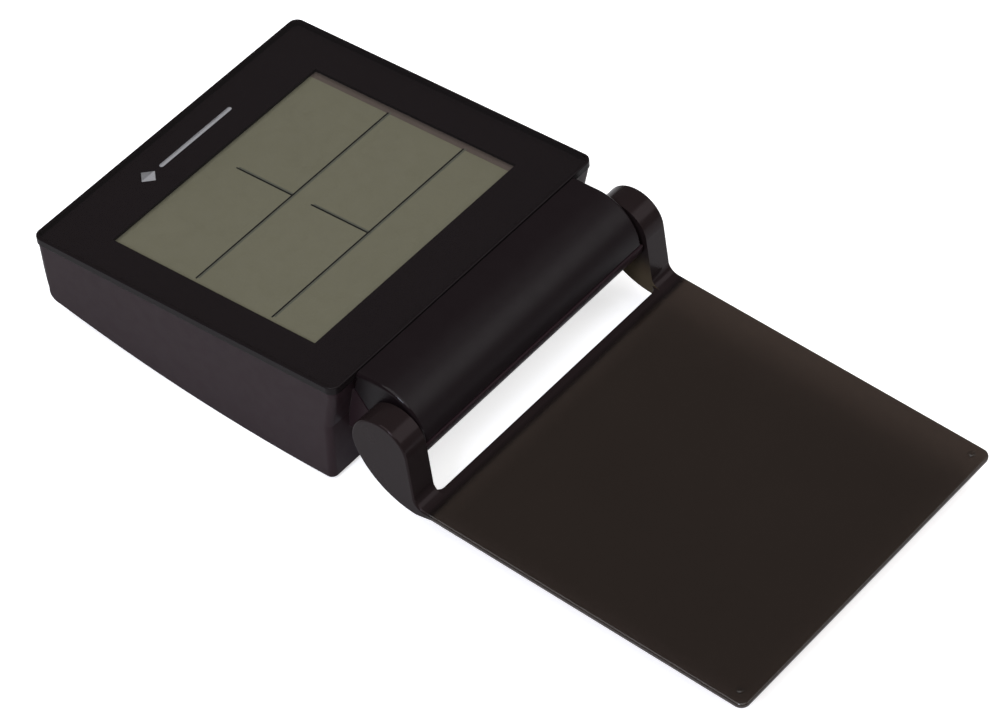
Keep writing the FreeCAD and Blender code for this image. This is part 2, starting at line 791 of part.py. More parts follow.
def make_buttons():
    names = ("mode_button", "down_button", "up_button", "alarm_button")
    face = -24.4
    collar_low, collar_high = -21.6, -20.6
    play = 0.35
    for name, x in zip(names, button_places()):
        button = new_body(name)
        add(button, "XY", face, -21.2, disc(x, d.button_line, d.button_radius))
        round_edges(button, 0.5, lambda e: level(e, face))
        add(button, "XY", collar_low, collar_high, disc(x, d.button_line, 3.8))
        add(button, "XY", collar_high, -board_back - switch_height - play, disc(x, d.button_line, 1.5))
    make_switch_knob()


def make_switch_knob():
    """The alarm slide's knob: a ridged thumb pad, a flange inside the slot and a fork to the switch."""
    pad_low = -26.6
    groove = 0.3
    knob = new_body("alarm_switch_knob")
    add(knob, "XY", pad_low, -23.0, rectangle(-2.1, -0.1, 47.1, 49.3, 0.4))
    for x in (-1.6, -0.8):
        cut(knob, "XY", pad_low, pad_low + groove, rectangle(x, x + groove, 46.9, 49.5))
    add(knob, "XY", -23.2, -22.6, rectangle(-3.9, 1.7, 46.2, 50.2))
    add(knob, "XY", -22.6, -board_back - 1.4, rectangle(-1.9, -0.3, 47.6, 48.8))


# ---------------------------------------------------------------- snooze bar and its switches

bar_centre = (-6.75, -(d.bar_radius + d.bar_top))


def bar_profile(radius, near, shoulder, foot):
    """Side view of the snooze bar's outside or inside."""
    axis_y, axis_z = bar_centre
    foot_z = as_size(foot)
    drop = foot_z - axis_z
    reach = root(as_size(radius) * radius - drop * drop)
    return (
        [*near, (axis_y, axis_z + radius), (as_size(axis_y) - reach, foot_z), *shoulder],
        {len(near): (radius, 1)},
    )


def make_snooze_bar():
    bar = new_body("snooze_bar")
    foot = -d.hinge_drop
    near = [(0.5, -4.9), (-0.3, -2.2), (-0.3, -d.bar_top)]
    shoulder = [(-4.5, foot), (-3.1, -10.0)]
    points, arcs = bar_profile(d.bar_radius, near, shoulder, foot)
    add(bar, "YZ", -d.barrel_half, d.barrel_half, outline(points, arcs))
    round_edges(bar, 0.8, bar_rim)
    wall = 1.4
    hollow_foot = -12.0
    inner_near = [(-1.7, hollow_foot), (-1.7, -d.bar_top - wall)]
    points, arcs = bar_profile(d.bar_radius - wall, inner_near, [], hollow_foot)
    inside = d.barrel_half - wall
    cut(bar, "YZ", -inside, inside, outline(points, arcs))
    cut(bar, "YZ", -inside, inside, rectangle(-4.0, 1.5, -12.5, -4.6))
    # The bar stands over the bushes, with room for its travel.
    cut(bar, "YZ", -d.barrel_half, d.barrel_half, disc(-d.hinge_reach, -d.hinge_drop, d.bush_radius + 0.5))
    rib_half = 0.8
    for x in snooze_switch_places:
        add(bar, "XY", -6.2, -2.9, rectangle(x - rib_half, x + rib_half, -13.0, -9.8))


def bar_rim(edge):
    """True for the curved rims at the bar's two ends."""
    box = edge.BoundBox
    at_end = min(abs(box.XMin), abs(box.XMax)) > d.barrel_half.number - 0.01
    return at_end and box.XLength < 0.01 and box.YMin < -6.7 and box.ZMax > -10.5


snooze_switch_places = (-14.0, 14.0)


def make_snooze_switches():
    board_top = -11.0
    can_top = -7.5
    can_half = 3.0
    line = -11.3
    board = new_body("snooze_board")
    add(board, "XY", board_top - d.board_thickness, board_top, rectangle(-27.0, 27.0, -14.6, -7.6, 0.6))
    switches = new_body("snooze_switches", group=True)
    for x in snooze_switch_places:
        add(switches, "XY", board_top, can_top,
            rectangle(x - can_half, x + can_half, line - can_half, line + can_half, 0.4))
        add(switches, "XY", can_top, -6.7, disc(x, line, 1.7))


# ---------------------------------------------------------------- leads


def lead(label, points, radius=0.55):
    """An insulated lead: straight runs joined by arcs, as a swept tube."""
    places = [FreeCAD.Vector(*point) for point in points]
    share = 0.45
    edges = []
    start = places[0]
    for before, corner, after in zip(places, places[1:], places[2:]):
        back = (before - corner).normalize()
        onward = (after - corner).normalize()
        half_turn = (math.pi - back.getAngle(onward)) / 2
        tangent = share * min((before - corner).Length, (after - corner).Length)
        bend = tangent / math.tan(half_turn)
        enter = corner + back * tangent
        leave = corner + onward * tangent
        towards = (back + onward).normalize()
        centre = corner + towards * (bend / math.cos(half_turn))
        middle = centre + (corner - centre).normalize() * bend
        edges.append(Part.LineSegment(start, enter).toShape())
        edges.append(Part.Arc(enter, middle, leave).toShape())
        print("%s bend radius %.1f mm" % (label, bend))
        start = leave
    edges.append(Part.LineSegment(start, places[-1]).toShape())
    path = Part.Wire(edges)
    heading = (places[1] - places[0]).normalize()
    ring = Part.Wire(Part.Circle(places[0], heading, radius).toShape())
    tube = path.makePipeShell([ring], True, False)
    length = sum(edge.Length for edge in edges)
    expected = math.pi * radius * radius * length
    if abs(tube.Volume - expected) > 0.01 * expected:
        raise RuntimeError("%s has the wrong volume" % label)
    feature = doc.addObject("Part::Feature", label)
    feature.Label = label
    feature.Shape = tube
    feature.Placement = CLOCK
    PARTS.append(feature)


def make_leads():
    lead("battery_lead_red", [(31.6, 23.3, -19.0), (35.2, 24.4, -17.6), (35.6, 29.6, -15.2),
                              (33.4, 34.6, -14.6), (32.0, 38.0, -13.4), (32.0, 38.0, -10.4)])
    lead("battery_lead_black", [(-31.6, 12.4, -19.0), (-35.2, 15.0, -17.6), (-35.6, 21.6, -15.2),
                                (-33.4, 28.0, -14.6), (-32.0, 31.4, -13.4), (-32.0, 31.4, -10.4)])
    for label, x in (("snooze_lead_1", -1.2), ("snooze_lead_2", 1.2)):
        lead(label, [(x, -9.0, -12.0), (x, -9.0, -14.2), (x, -5.6, -13.9), (x, 0.6, -12.3),
                     (x, 6.8, -12.7), (x, 12.4, -12.6), (x, 12.4, -10.4)], 0.4)


# ---------------------------------------------------------------- hinge and cover


def make_hinge():
    bushes = new_body("hinge_bushes", group=True)
    pins = new_body("hinge_pins", COVER, group=True)
    washers = new_body("friction_washers", group=True)
    clips = new_body("pin_clips", COVER, group=True)
    axis = (-d.hinge_reach, -d.hinge_drop)
    bore = d.pin_radius + d.running_fit
    bush_start = 31.0
    for low, high in both_sides(bush_start, 36.4):
        add(bushes, "YZ", low, high, disc(*axis, d.bush_radius), disc(*axis, bore))
    for low, high in both_sides(bush_start - 1.0, bush_start):
        add(washers, "YZ", low, high, disc(*axis, 3.6), disc(*axis, bore + 0.05))
    for low, high in both_sides(28.2, 43.2):
        add(pins, "YZ", low, high, disc(0, 0, d.pin_radius))
    for low, high in both_sides(29.0, 29.7):
        add(clips, "YZ", low, high, disc(0, 0, 3.2), disc(0, 0, d.pin_radius))


def arm_profile():
    """Side view of one arm: round boss, straight front, fillet into the plate and a swept underside."""
    radius = d.boss_radius
    inner = -d.cover_drop
    outer = inner - d.cover_thickness
    front_top = (-7.52, 1.4)
    front_foot = (-9.35, -8.9)
    fillet = 2.8
    swell = (-10.0, -14.0)
    root_centre = (-10.0, 4.7)
    reach = math.hypot(*root_centre)
    leave = (-root_centre[0] / reach * radius.number, -root_centre[1] / reach * radius.number)
    side = math.hypot(leave[0] - root_centre[0], leave[1] - root_centre[1])
    return (
        [front_top, front_foot, (-12.1, inner), (-16.0, inner), (-16.0, outer), (-14.2, outer), swell,
         leave, (0, radius)],
        {1: (fillet, -1), 6: (side, 1), 7: (radius, 1), 8: (radius, 1)},
    )


def make_cover():
    cover = new_body("cover", COVER)
    arm_low = half_width - d.arm_width
    inner = -d.cover_drop
    outer = inner - d.cover_thickness
    blend = 1.8
    slot = -d.slot_reach
    far = -d.cover_reach
    tab = -9.6
    corner = d.cover_corner
    add(cover, "XY", outer, inner, outline(
        [
            (-half_width, far + corner), (-half_width + corner, far), (half_width - corner, far),
            (half_width, far + corner), (half_width, tab), (arm_low, tab),
            (arm_low, slot + blend), (arm_low - blend, slot), (-arm_low + blend, slot),
            (-arm_low, slot + blend), (-arm_low, tab), (-half_width, tab),
        ],
        {0: (corner, 1), 2: (corner, 1), 6: (blend, -1), 8: (blend, -1)},
    ))
    for low, high in both_sides(arm_low, half_width):
        add(cover, "YZ", low, high, outline(*arm_profile()))
    for low, high in both_sides(arm_low, 43.4):
        cut(cover, "YZ", low, high, disc(0, 0, d.pin_radius))
    round_edges(cover, 0.5, cover_rim)

    margin = 3.3
    bumper = 0.55
    bumpers = new_body("cover_bumpers", COVER, group=True)
    for x in (margin - half_width, half_width - margin):
        add(bumpers, "XY", inner, inner + bumper, disc(x, far + margin, 0.9))
    round_edges(bumpers, 0.35, lambda e: level(e, -d.cover_drop.number + bumper))


def cover_rim(edge):
    """True for the edges round the cover's outline, on both of its faces."""
    box = edge.BoundBox
    upright = box.XLength < 0.01 and box.YLength < 0.01
    at_side = min(abs(box.XMin), abs(box.XMax)) > 42.7 and box.XLength < 2.4
    at_far = box.YMax < -96.0
    inside_arm = furthest_x(box) < 44.9 and box.YMin > -80
    return not upright and (at_far or at_side and not inside_arm)


def furthest_x(box):
    """The box's greatest distance from the middle plane."""
    return max(abs(box.XMin), abs(box.XMax))


# ---------------------------------------------------------------- build, test and write

make_front_frame()
make_lens()
make_display()
make_board()
make_rear_housing()
make_housing_fittings()
make_batteries()
make_battery_door()
make_buttons()
make_snooze_bar()
make_snooze_switches()
make_leads()
make_hinge()
make_cover()
doc.recompute()

for item in doc.Objects:
    if "Invalid" in item.State or "Error" in item.State:
        raise RuntimeError("%s failed: %s" % (item.Label, item.State))

os.makedirs("parts", exist_ok=True)
for item in PARTS:
    if item.Shape.isNull() or not item.Shape.isValid():
        raise RuntimeError("%s has no valid shape" % item.Label)
for item in PARTS:
    item.Shape.exportStep("parts/%s.step" % item.Label)
    print("%-22s solids %d volume %9.1f mm3" % (item.Label, len(item.Shape.Solids), item.Shape.Volume))
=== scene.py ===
import json
import math

import bmesh
import bpy
from mathutils import Matrix, Vector
from mathutils.bvhtree import BVHTree


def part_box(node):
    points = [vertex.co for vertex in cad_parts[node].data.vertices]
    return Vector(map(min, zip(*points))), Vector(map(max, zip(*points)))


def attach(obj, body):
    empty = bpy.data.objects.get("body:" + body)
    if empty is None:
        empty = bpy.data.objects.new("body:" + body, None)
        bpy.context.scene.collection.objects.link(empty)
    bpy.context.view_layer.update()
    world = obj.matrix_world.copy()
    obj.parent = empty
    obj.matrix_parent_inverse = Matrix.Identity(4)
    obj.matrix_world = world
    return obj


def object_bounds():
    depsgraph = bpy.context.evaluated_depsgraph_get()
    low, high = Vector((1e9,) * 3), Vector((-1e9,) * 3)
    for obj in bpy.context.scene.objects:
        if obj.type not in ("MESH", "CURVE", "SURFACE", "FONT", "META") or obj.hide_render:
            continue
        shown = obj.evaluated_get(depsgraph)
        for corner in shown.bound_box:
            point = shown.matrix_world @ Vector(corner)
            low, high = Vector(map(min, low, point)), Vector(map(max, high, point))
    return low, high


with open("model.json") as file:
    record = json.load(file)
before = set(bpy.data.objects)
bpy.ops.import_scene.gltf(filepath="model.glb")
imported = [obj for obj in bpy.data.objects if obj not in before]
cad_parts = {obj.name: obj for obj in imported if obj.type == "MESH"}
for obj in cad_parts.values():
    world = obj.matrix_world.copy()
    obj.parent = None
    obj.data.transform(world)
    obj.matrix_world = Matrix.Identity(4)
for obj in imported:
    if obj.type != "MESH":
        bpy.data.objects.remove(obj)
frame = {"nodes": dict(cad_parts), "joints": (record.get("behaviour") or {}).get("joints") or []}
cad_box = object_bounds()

# Looks of a folding travel alarm clock: a black wedge with a square display, a barrel along one edge and a
# smoked cover that turns on the barrel's ends. Lengths are metres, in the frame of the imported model.

MM = 0.001
NODES = frame["nodes"]

EDGE_SAMPLES = 4  # rays of each Bevel node
SAME_POINT = 1e-7  # corners closer than this become one
QUARTER_STEPS = 6  # straight steps in a quarter turn


# ---------------------------------------------------------------- directions and places on the clock

def joint(name):
    """The record's entry for one joint."""
    return next(j for j in frame["joints"] if j["name"] == name)


ACROSS = Vector((1.0, 0.0, 0.0))
OUTWARD = Vector(joint("mode_press")["axis"]).normalized()
ALONG = OUTWARD.cross(ACROSS)
HINGE = Vector(joint("cover_hinge")["pos_m"])


def reach(node, direction):
    """How far a CAD node goes in a direction, measured from the frame's origin."""
    return max(v.co.dot(direction) for v in NODES[node].data.vertices)


def spot(x, along, height):
    """The point with these distances from the origin along the clock's own directions."""
    return ACROSS * x + ALONG * along + OUTWARD * height


def window_of(node):
    """Half width, near edge and far edge of the window in the print behind the lens."""
    points = [v.co for v in NODES[node].data.vertices]
    outer = max(p.x for p in points)
    inner = [p for p in points if abs(p.x) < 0.9 * outer]
    rows = [p.dot(ALONG) for p in inner]
    return max(p.x for p in inner), min(rows), max(rows)


WINDOW_HALF, WINDOW_NEAR, WINDOW_FAR = window_of("lens_print")


# ---------------------------------------------------------------- material nodes

def start_material(name):
    """An empty node material, its node maker, its link maker and its output node."""
    made = bpy.data.materials.new(name)
    made.use_nodes = True
    tree = made.node_tree
    tree.nodes.clear()
    output = tree.nodes.new("ShaderNodeOutputMaterial")
    return made, tree.nodes.new, tree.links.new, output


def axes_of(node, link, vector):
    """The X, Y and Z outputs of a vector."""
    parts = node("ShaderNodeSeparateXYZ")
    link(vector, parts.inputs["Vector"])
    return parts.outputs


def noise(node, link, place, size, detail=3.0):
    """A noise texture whose blotches are about size metres across."""
    texture = node("ShaderNodeTexNoise")
    texture.inputs["Scale"].default_value = 1.0 / size
    texture.inputs["Detail"].default_value = detail
    link(place, texture.inputs["Vector"])
    return texture.outputs["Fac"]


def remap(node, link, value, low, high, new_low, new_high):
    """A value between low and high, carried over to the new limits."""
    ranged = node("ShaderNodeMapRange")
    ranged.interpolation_type = "SMOOTHSTEP"
    ranged.inputs["From Min"].default_value = low
    ranged.inputs["From Max"].default_value = high
    ranged.inputs["To Min"].default_value = new_low
    ranged.inputs["To Max"].default_value = new_high
    link(value, ranged.inputs["Value"])
    return ranged.outputs["Result"]


def maths(node, link, operation, first, second):
    """One math node; second is a socket or a number."""
    step = node("ShaderNodeMath")
    step.operation = operation
    link(first, step.inputs[0])
    if isinstance(second, (int, float)):
        step.inputs[1].default_value = second
    else:
        link(second, step.inputs[1])
    return step.outputs["Value"]


def opposite(node, link, share):
    """One minus a share."""
    return maths(node, link, "MULTIPLY", maths(node, link, "SUBTRACT", share, 1.0), -1.0)


def blend_colours(node, link, share, first, second):
    """A colour between two, by a share that varies over the surface."""
    mixed = node("ShaderNodeMix")
    mixed.data_type = "RGBA"
    for socket, colour in ((mixed.inputs[6], first), (mixed.inputs[7], second)):
        if isinstance(colour, tuple):
            socket.default_value = (*colour, 1.0)
        else:
            link(colour, socket)
    link(share, mixed.inputs[0])
    return mixed.outputs[2]


def worn_edge(node, link, radius):
    """Near 1 at edges, and 0 on flat faces."""
    rounded = node("ShaderNodeBevel")
    rounded.samples = EDGE_SAMPLES
    rounded.inputs["Radius"].default_value = radius
    geometry = node("ShaderNodeNewGeometry")
    agreement = node("ShaderNodeVectorMath")
    agreement.operation = "DOT_PRODUCT"
    link(rounded.outputs["Normal"], agreement.inputs[0])
    link(geometry.outputs["Normal"], agreement.inputs[1])
    return remap(node, link, agreement.outputs["Value"], 0.97, 0.80, 0.0, 1.0)


def rim_gloss(node, link, roughness):
    """A roughness made lower on the rounded rims between a flat end and the surface beside it."""
    least_share = 0.28
    facing = axes_of(node, link, node("ShaderNodeNewGeometry").outputs["Normal"])
    sideways = maths(node, link, "ABSOLUTE", facing["X"], 0.0)
    rim = maths(node, link, "MULTIPLY", remap(node, link, sideways, 0.1, 0.3, 0.0, 1.0),
                remap(node, link, sideways, 0.85, 0.97, 1.0, 0.0))
    return maths(node, link, "MULTIPLY", roughness, remap(node, link, rim, 0.0, 1.0, 1.0, least_share))


def fine_bump(node, link, place, size, depth, soft=None):
    """A normal with a fine moulded grain, its size and depth in metres.

    soft is a radius that rounds sharp edges.
    """
    bump = node("ShaderNodeBump")
    bump.inputs["Strength"].default_value = 1.0
    bump.inputs["Distance"].default_value = depth
    link(noise(node, link, place, size), bump.inputs["Height"])
    if soft is not None:
        rounded = node("ShaderNodeBevel")
        rounded.samples = EDGE_SAMPLES
        rounded.inputs["Radius"].default_value = soft
        link(rounded.outputs["Normal"], bump.inputs["Normal"])
    return bump.outputs["Normal"]


def finish(name, colours, roughness, mottle=9 * MM, grain=0.25 * MM, depth=0.002 * MM, metallic=0.0,
           specular=0.5, coat=0.0, wear=None, soft=None, bright_rims=False):
    """A solid moulded, printed or metal finish with mottled colour, uneven gloss and a fine grain.

    wear is the colour of rubbed edges, soft the radius that rounds sharp ones, and bright_rims makes the
    rounded rims at the ends glossier.
    """
    wear_radius, wear_patch, gloss_patch = 0.25 * MM, 2.5 * MM, 3 * MM
    made, node, link, output = start_material(name)
    shader = node("ShaderNodeBsdfPrincipled")
    shader.inputs["Metallic"].default_value = metallic
    shader.inputs["Specular IOR Level"].default_value = specular
    shader.inputs["Coat Weight"].default_value = coat
    shader.inputs["Coat Roughness"].default_value = 0.08
    place = node("ShaderNodeTexCoord").outputs["Object"]
    colour = blend_colours(node, link, noise(node, link, place, mottle), *colours)
    if wear is not None:
        rubbed = maths(node, link, "MULTIPLY", worn_edge(node, link, wear_radius),
                       remap(node, link, noise(node, link, place, wear_patch), 0.4, 0.7, 0.0, 0.6))
        colour = blend_colours(node, link, rubbed, colour, wear)
    link(colour, shader.inputs["Base Color"])
    uneven = remap(node, link, noise(node, link, place, gloss_patch), 0.3, 0.7, *roughness)
    if bright_rims:
        uneven = rim_gloss(node, link, uneven)
    link(uneven, shader.inputs["Roughness"])
    link(fine_bump(node, link, place, grain, depth, soft), shader.inputs["Normal"])
    link(shader.outputs["BSDF"], output.inputs["Surface"])
    return made


ACRYLIC = 1.49
FILM = 1.1


def surface_shine(node, link, index):
    """Share of light that a front face mirrors; a back face mirrors none."""
    fresnel = node("ShaderNodeFresnel")
    fresnel.inputs["IOR"].default_value = index
    front = opposite(node, link, node("ShaderNodeNewGeometry").outputs["Backfacing"])
    return maths(node, link, "MULTIPLY", fresnel.outputs["Fac"], front)


def clear_sheet(name, tints, roughness, index=ACRYLIC):
    """A clear or lightly tinted sheet: what is behind shows through, and the front face mirrors."""
    tint_patch, smear_patch = 12 * MM, 6 * MM
    made, node, link, output = start_material(name)
    place = node("ShaderNodeTexCoord").outputs["Object"]
    through = node("ShaderNodeBsdfTransparent")
    link(blend_colours(node, link, noise(node, link, place, tint_patch), *tints), through.inputs["Color"])
    mirror = node("ShaderNodeBsdfGlossy")
    smears = remap(node, link, noise(node, link, place, smear_patch), 0.35, 0.75, *roughness)
    link(smears, mirror.inputs["Roughness"])
    both = node("ShaderNodeMixShader")
    link(surface_shine(node, link, index), both.inputs["Fac"])
    link(through.outputs["BSDF"], both.inputs[1])
    link(mirror.outputs["BSDF"], both.inputs[2])
    link(both.outputs["Shader"], output.inputs["Surface"])
    return made


SMOKE_DEEP = (0.160, 0.136, 0.122)
SMOKE_PALE = (0.174, 0.148, 0.133)
# Colour of the painted light on the inside faces of the cover's arms.
SMOKE_PAINTED_LIGHT = (0.070, 0.052, 0.029)
SOLID_DEEP = (0.0115, 0.0078, 0.0080)
SOLID_PALE = (0.0140, 0.0098, 0.0098)


def smoked_arm(node, link, place, parts):
    """The shader of the cover's thick arms, with painted brown light low on the faces that look at each
    other.
    """
    painted_light_bottom, painted_light_top = HINGE.z - 11.0 * MM, HINGE.z - 2.0 * MM
    painted_light_reach = 30.0 * MM
    solid = node("ShaderNodeBsdfPrincipled")
    solid.inputs["Specular IOR Level"].default_value = 0.095
    solid.inputs["Specular Tint"].default_value = (1.0, 0.84, 0.88, 1.0)
    body = blend_colours(node, link, noise(node, link, place, 8 * MM), SOLID_DEEP, SOLID_PALE)
    # Painted light: brown light mixed into the colour, low down on the faces that look at each other.
    low = remap(node, link, parts["Z"], painted_light_bottom, painted_light_top, 1.0, 0.0)
    facing = axes_of(node, link, node("ShaderNodeNewGeometry").outputs["Normal"])
    sideways = maths(node, link, "MULTIPLY", facing["X"], parts["X"])
    inner = remap(node, link, sideways, -painted_light_reach, 0.0, 1.0, 0.0)
    body = blend_colours(node, link, maths(node, link, "MULTIPLY", low, inner), body, SMOKE_PAINTED_LIGHT)
    link(body, solid.inputs["Base Color"])
    gloss = remap(node, link, noise(node, link, place, 5 * MM), 0.3, 0.75, 0.14, 0.24)
    link(rim_gloss(node, link, gloss), solid.inputs["Roughness"])
    return solid.outputs["BSDF"]


def smoked_sheet(name):
    """The cover's smoked plastic: the thin plate lets some brown light through, and the arms none."""
    arm_foot = HINGE.y - 12.1 * MM
    fade = 2.6 * MM
    made, node, link, output = start_material(name)
    place = node("ShaderNodeTexCoord").outputs["Object"]
    parts = axes_of(node, link, place)
    thick = remap(node, link, parts["Y"], arm_foot - fade, arm_foot, 0.0, 1.0)
    through = node("ShaderNodeBsdfTransparent")
    tint = blend_colours(node, link, noise(node, link, place, 20 * MM), SMOKE_DEEP, SMOKE_PALE)
    link(tint, through.inputs["Color"])
    filled = node("ShaderNodeMixShader")
    link(thick, filled.inputs["Fac"])
    link(through.outputs["BSDF"], filled.inputs[1])
    link(smoked_arm(node, link, place, parts), filled.inputs[2])
    mirror = node("ShaderNodeBsdfGlossy")
    smears = remap(node, link, noise(node, link, place, 7 * MM), 0.3, 0.75, 0.04, 0.09)
    link(smears, mirror.inputs["Roughness"])
    shine = surface_shine(node, link, ACRYLIC)
    both = node("ShaderNodeMixShader")
    link(maths(node, link, "MULTIPLY", shine, opposite(node, link, thick)), both.inputs["Fac"])
    link(filled.outputs["Shader"], both.inputs[1])
    link(mirror.outputs["BSDF"], both.inputs[2])
    link(both.outputs["Shader"], output.inputs["Surface"])
    return made


# ---------------------------------------------------------------- finishes by material slot

def black_plastics():
    """The clock's own black mouldings and the print behind the lens."""
    return {
        "gloss_black": finish("gloss_black", ((0.0082, 0.0062, 0.0066), (0.0098, 0.0076, 0.0080)),
                              (0.16, 0.26), specular=0.07, wear=(0.022, 0.020, 0.021), soft=0.15 * MM),
        "black_print": finish("black_print", ((0.0076, 0.0055, 0.0061), (0.0092, 0.0067, 0.0074)),
                              (0.45, 0.60), mottle=30 * MM, depth=0.0002 * MM, specular=0.0),
        "satin_black": finish("satin_black", ((0.0205, 0.0115, 0.0140), (0.0240, 0.0138, 0.0165)),
                              (0.30, 0.40), depth=0.003 * MM, specular=0.075,
                              wear=(0.028, 0.021, 0.023), soft=0.4 * MM),
        "bar_black": finish("bar_black", ((0.0068, 0.0042, 0.0050), (0.0080, 0.0052, 0.0060)),
                            (0.36, 0.40), depth=0.001 * MM, specular=0.14, wear=(0.024, 0.020, 0.021),
                            bright_rims=True),
    }


def sheets():
    """The clear, tinted and smoked sheets."""
    return {
        "clear_acrylic": clear_sheet("clear_acrylic", ((0.97, 0.97, 0.965), (0.985, 0.985, 0.98)),
                                     (0.02, 0.05)),
        "display_film": clear_sheet("display_film", ((0.90, 0.90, 0.87), (0.92, 0.92, 0.89)),
                                    (0.25, 0.35), FILM),
        "display_glass": clear_sheet("display_glass", ((0.95, 0.96, 0.94), (0.97, 0.975, 0.96)),
                                     (0.04, 0.08), FILM),
        "bumper_clear": clear_sheet("bumper_clear", ((0.75, 0.74, 0.72), (0.82, 0.81, 0.79)), (0.10, 0.20)),
        "smoked_clear": smoked_sheet("smoked_clear"),
    }


# Two colours that mottle each other, the least and most roughness, and what else differs.
PLAIN_FINISHES = {
    "light_plastic": (((0.62, 0.66, 0.64), (0.70, 0.73, 0.70)), (0.15, 0.25), {}),
    "white_plastic": (((0.55, 0.54, 0.50), (0.62, 0.61, 0.57)), (0.35, 0.5), {}),
    "board_green": (((0.010, 0.065, 0.022), (0.016, 0.090, 0.030)), (0.25, 0.4), {}),
    "epoxy_black": (((0.006, 0.006, 0.007), (0.012, 0.012, 0.013)), (0.2, 0.35), {}),
    "bright_steel": (((0.50, 0.49, 0.47), (0.62, 0.61, 0.59)), (0.22, 0.38), {"metallic": 1.0}),
    "nickel": (((0.56, 0.53, 0.47), (0.66, 0.62, 0.56)), (0.15, 0.30), {"metallic": 1.0}),
    "brass_disc": (((0.62, 0.44, 0.16), (0.72, 0.53, 0.22)), (0.25, 0.4), {"metallic": 1.0}),
    "connector_rubber": (((0.10, 0.085, 0.10), (0.14, 0.12, 0.14)), (0.6, 0.75), {}),
    "acetal": (((0.55, 0.54, 0.50), (0.64, 0.63, 0.59)), (0.3, 0.45), {}),
    "cell_sleeve": (((0.015, 0.05, 0.11), (0.02, 0.065, 0.14)), (0.2, 0.32), {"coat": 0.4}),
    "button_grey": (((0.050, 0.048, 0.049), (0.062, 0.060, 0.061)), (0.42, 0.55), {}),
    "lead_red": (((0.42, 0.012, 0.010), (0.52, 0.020, 0.016)), (0.35, 0.5), {}),
    "lead_black": (((0.008, 0.008, 0.008), (0.014, 0.014, 0.014)), (0.35, 0.5), {}),
    "sensor_black": (((0.008, 0.008, 0.009), (0.014, 0.014, 0.015)), (0.3, 0.45), {}),
}


def finishes():
    """The material for each slot of the record."""
    made = {name: finish(name, colours, roughness, **others)
            for name, (colours, roughness, others) in PLAIN_FINISHES.items()}
    return {**black_plastics(), **sheets(), **made}


def dress_nodes():
    """Every CAD node gets its slot's finish; the display's front film carries the grey of the reflector."""
    made = finishes()
    for node in NODES.values():
        for slot in node.material_slots:
            slot.material = made[slot.material.name]
    ground = display_ground()
    for slot in NODES["lcd_front_polariser"].material_slots:
        slot.material = ground


def display_ground():
    """The greenish grey of a blank display."""
    return finish("display_ground", ((0.121, 0.116, 0.076), (0.131, 0.125, 0.083)), (0.5, 0.65),
                  mottle=30 * MM)


# ---------------------------------------------------------------- small printed and moulded pieces

def rounded_bar(left, right, near, far):
    """Outline of a bar with round ends, in the panel's plane."""
    radius = min(right - left, far - near) / 2
    corners = ((right - radius, near + radius, -90), (right - radius, far - radius, 0),
               (left + radius, far - radius, 90), (left + radius, near + radius, 180))
    points = []
    for x, y, start in corners:
        for step in range(QUARTER_STEPS + 1):
            turn = math.radians(start + 90 * step / QUARTER_STEPS)
            points.append((x + radius * math.cos(turn), y + radius * math.sin(turn)))
    return points


def printed(name, outline, height, thickness, material, body="clock"):
    """A thin printed shape: outline in the panel's plane, its top at a height along the panel's normal."""
    mesh = bpy.data.meshes.new(name)
    work = bmesh.new()
    low = [work.verts.new(spot(x, y, height - thickness)) for x, y in outline]
    high = [work.verts.new(spot(x, y, height)) for x, y in outline]
    work.faces.new(high)
    work.faces.new(reversed(low))
    for at in range(len(outline)):
        after = (at + 1) % len(outline)
        work.faces.new((low[at], low[after], high[after], high[at]))
    bmesh.ops.remove_doubles(work, verts=work.verts, dist=SAME_POINT)
    bmesh.ops.recalc_face_normals(work, faces=work.faces)
    work.to_mesh(mesh)
    work.free()
    mesh.materials.append(material)
    piece = bpy.data.objects.new(name, mesh)
    bpy.context.scene.collection.objects.link(piece)
    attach(piece, body)
    return piece


def display_lines():
    """The thin black lines that divide the display, each with the faint shadow that it throws."""
    ink = finish("divider_ink", ((0.004, 0.004, 0.004), (0.006, 0.006, 0.006)), (0.4, 0.5), specular=0.1)
    shade = finish("divider_shadow", ((0.078, 0.080, 0.062), (0.086, 0.088, 0.069)), (0.5, 0.65),
                   specular=0.2)
    half = 0.20 * MM
    left, right = 1.9 * MM - WINDOW_HALF, WINDOW_HALF - 1.2 * MM
    column = -0.1 * MM
    tick = 16.4 * MM
    drop = 0.45 * MM
    film = reach("lcd_front_polariser", OUTWARD)
    line_top, line_thickness = film + 0.04 * MM, 0.02 * MM
    shadow_top, shadow_thickness = film + 0.015 * MM, 0.01 * MM
    for name, share in (("upper", 0.615), ("lower", 0.240)):
        row = WINDOW_NEAR + share * (WINDOW_FAR - WINDOW_NEAR)
        for part, bar in (("line", (left, right, row - half, row + half)),
                          ("tick", (column - half, column + half, row, row + tick))):
            title = "display_%s_%s" % (part, name)
            printed(title, rounded_bar(*bar), line_top, line_thickness, ink)
            beside = rounded_bar(bar[0] + drop, bar[1] + drop, bar[2] - drop, bar[3] - drop)
            printed(title + "_shadow", beside, shadow_top, shadow_thickness, shade)


def painted_display_edge_reflection():
    """The brown strip at the display's right edge: a painted reflection of the window's inner wall in the
    glass.
    """
    # Painted reflection: a thin brown strip stands in for the window's inner wall as it shows in the glass.
    painted_reflection = finish("window_wall_painted_reflection", ((0.082, 0.064, 0.054), (0.090, 0.071, 0.060)), (0.5, 0.65),
                  mottle=20 * MM, specular=0.2)
    top = reach("lcd_front_polariser", OUTWARD) + 0.008 * MM
    thickness = 0.005 * MM
    hidden = 0.8 * MM
    left, right = WINDOW_HALF - 1.5 * MM, WINDOW_HALF + hidden
    near, far = WINDOW_NEAR - hidden, WINDOW_FAR + hidden
    strip = [(left, near), (right, near), (right, far), (left, far)]
    printed("display_edge_right", strip, top, thickness, painted_reflection)


